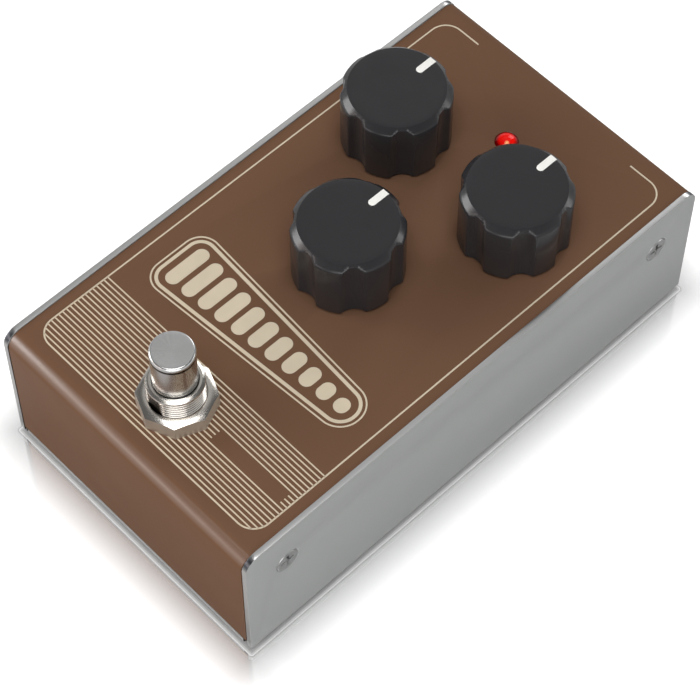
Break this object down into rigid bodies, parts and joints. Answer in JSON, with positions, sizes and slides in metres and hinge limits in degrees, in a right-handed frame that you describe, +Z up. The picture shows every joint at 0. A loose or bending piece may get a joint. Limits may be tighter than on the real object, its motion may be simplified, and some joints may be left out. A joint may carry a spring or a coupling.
{
  "type": "effects pedal",
  "caption": "Delay effects pedal in a folded steel case with fluted knobs, a status light, a sprung footswitch and jacks on its rear wall.",
  "frame": {"origin": "middle of the whole outline at the level of the feet's undersides", "axes": "+X towards the player's right, +Y towards the rear wall with the jacks, +Z up"},
  "size_m": [0.072, 0.1306, 0.0571],
  "materials": {
    "grey_enamel": "satin",
    "brown_enamel": "satin",
    "zinc_steel": "satin",
    "nickel": "polished",
    "black_plastic": "satin",
    "housing_plastic": "matte",
    "pointer_white": "satin",
    "red_lens": "gloss",
    "rubber": "matte",
    "board_green": "satin",
    "chip_black": "matte",
    "phenolic": "matte",
    "brass": "satin",
    "can_aluminium": "satin",
    "film_blue": "gloss",
    "resistor_tan": "matte",
    "tinned": "satin",
    "wire_black": "satin",
    "relay_white": "satin",
    "trimmer_blue": "satin",
    "white_nylon": "satin"
  },
  "bodies": {
    "case": {"amplifier_chips": "chip_black", "bypass_relay": "relay_white", "can_capacitors": "can_aluminium", "chassis": "grey_enamel", "clinch_nuts": "zinc_steel", "cover": "brown_enamel", "cover_brackets": "zinc_steel", "delay_chips": "chip_black", "film_capacitors": "film_blue", "footswitch_base": "phenolic", "footswitch_bushing": "nickel", "footswitch_housing": "zinc_steel", "footswitch_inner_nut": "nickel", "footswitch_lugs": "brass", "footswitch_nut": "nickel", "footswitch_spring": "zinc_steel", "footswitch_washer": "zinc_steel", "inlet_contacts": "tinned", "inlet_housing": "housing_plastic", "input_jack_housing": "housing_plastic", "input_jack_sleeve": "nickel", "jack_contacts": "tinned", "jack_nuts": "nickel", "jack_washers": "nickel", "led_leads": "tinned", "led_spacer": "white_nylon", "main_board": "board_green", "output_jack_housing": "housing_plastic", "output_jack_sleeve": "nickel", "pot_bushing_front": "nickel", "pot_bushing_left": "nickel", "pot_bushing_right": "nickel", "pot_housing_front": "zinc_steel", "pot_housing_left": "zinc_steel", "pot_housing_right": "zinc_steel", "pot_nuts": "nickel", "pot_terminals": "tinned", "pot_wafers": "phenolic", "pot_washers": "nickel", "resistors": "resistor_tan", "rubber_feet": "rubber", "side_screws": "zinc_steel", "status_led": "red_lens", "switch_wires": "wire_black", "trimmers": "trimmer_blue", "wire_header": "white_nylon"},
    "knob_body_left": {"knob_left": "black_plastic", "pointer_left": "pointer_white", "shaft_left": "can_aluminium", "rotor_left": "housing_plastic"},
    "knob_body_right": {"knob_right": "black_plastic", "pointer_right": "pointer_white", "shaft_right": "can_aluminium", "rotor_right": "housing_plastic"},
    "knob_body_front": {"knob_front": "black_plastic", "pointer_front": "pointer_white", "shaft_front": "can_aluminium", "rotor_front": "housing_plastic"},
    "button_body": {"footswitch_button": "nickel", "footswitch_bridge": "brass"}
  },
  "joints": [
    {"name": "knob_turn_left", "type": "hinge", "parent": "case", "child": "knob_body_left", "pos_m": [-0.01725, 0.02645, 0.0375], "axis": [0, 0, 1], "range_deg": [-150, 150]},
    {"name": "knob_turn_right", "type": "hinge", "parent": "case", "child": "knob_body_right", "pos_m": [0.01725, 0.02645, 0.0375], "axis": [0, 0, 1], "range_deg": [-150, 150]},
    {"name": "knob_turn_front", "type": "hinge", "parent": "case", "child": "knob_body_front", "pos_m": [0, -0.00385, 0.0375], "axis": [0, 0, 1], "range_deg": [-150, 150]},
    {"name": "footswitch_press", "type": "slide", "parent": "case", "child": "button_body", "axis": [0, 0, -1], "range_m": [0, 0.003], "stiffness_N_per_m": 1500, "springref_m": -0.004, "deforming": ["footswitch_spring"]}
  ]
}
